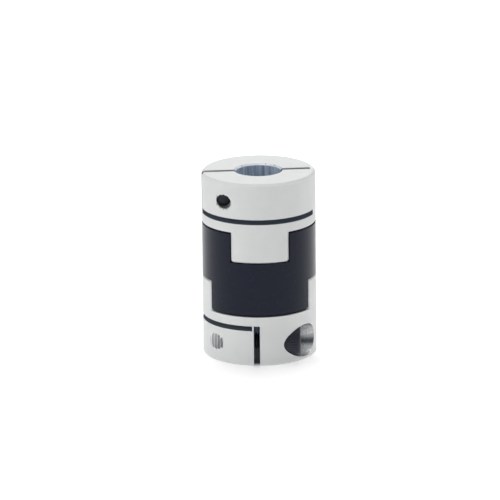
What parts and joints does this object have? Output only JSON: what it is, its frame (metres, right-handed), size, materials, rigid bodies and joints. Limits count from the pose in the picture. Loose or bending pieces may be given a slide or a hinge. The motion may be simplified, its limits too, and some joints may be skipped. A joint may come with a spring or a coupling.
{
  "type": "oldham coupling",
  "caption": "Clamp-type Oldham coupling: split clamping hubs whose crossed tongues slide in a slotted centre disc.",
  "frame": {"origin": "centre of the lower hub's outer face, on the bore axis", "axes": "+Z along the bore axis from the lower hub to the upper hub; +X along the lower tongue, towards the head of the lower clamp screw; -Y towards the lower clamp slit; +Y along the upper tongue, towards the head of the upper clamp screw"},
  "size_m": [0.02, 0.02, 0.033],
  "materials": {
    "hub_aluminium": "fine matte anodised",
    "disc_plastic": "satin machined acetal",
    "screw_steel": "black oxide"
  },
  "bodies": {
    "lower_hub_body": {"lower_hub": "hub_aluminium"},
    "disc_body": {"centre_disc": "disc_plastic"},
    "upper_hub_body": {"upper_hub": "hub_aluminium"},
    "lower_screw_body": {"lower_clamp_screw": "screw_steel"},
    "upper_screw_body": {"upper_clamp_screw": "screw_steel"}
  },
  "joints": [
    {"name": "disc_slide", "type": "slide", "parent": "lower_hub_body", "child": "disc_body", "axis": [1, 0, 0], "range_m": [-0.0015, 0.0015]},
    {"name": "upper_hub_slide", "type": "slide", "parent": "disc_body", "child": "upper_hub_body", "axis": [0, 1, 0], "range_m": [-0.0015, 0.0015]},
    {"name": "lower_screw_turn", "type": "hinge", "parent": "lower_hub_body", "child": "lower_screw_body", "pos_m": [0.004, -0.0062, 0.0036], "axis": [1, 0, 0], "range_deg": [0, 540]},
    {"name": "upper_screw_turn", "type": "hinge", "parent": "upper_hub_body", "child": "upper_screw_body", "pos_m": [-0.0062, 0.004, 0.0294], "axis": [0, 1, 0], "range_deg": [0, 540]}
  ]
}
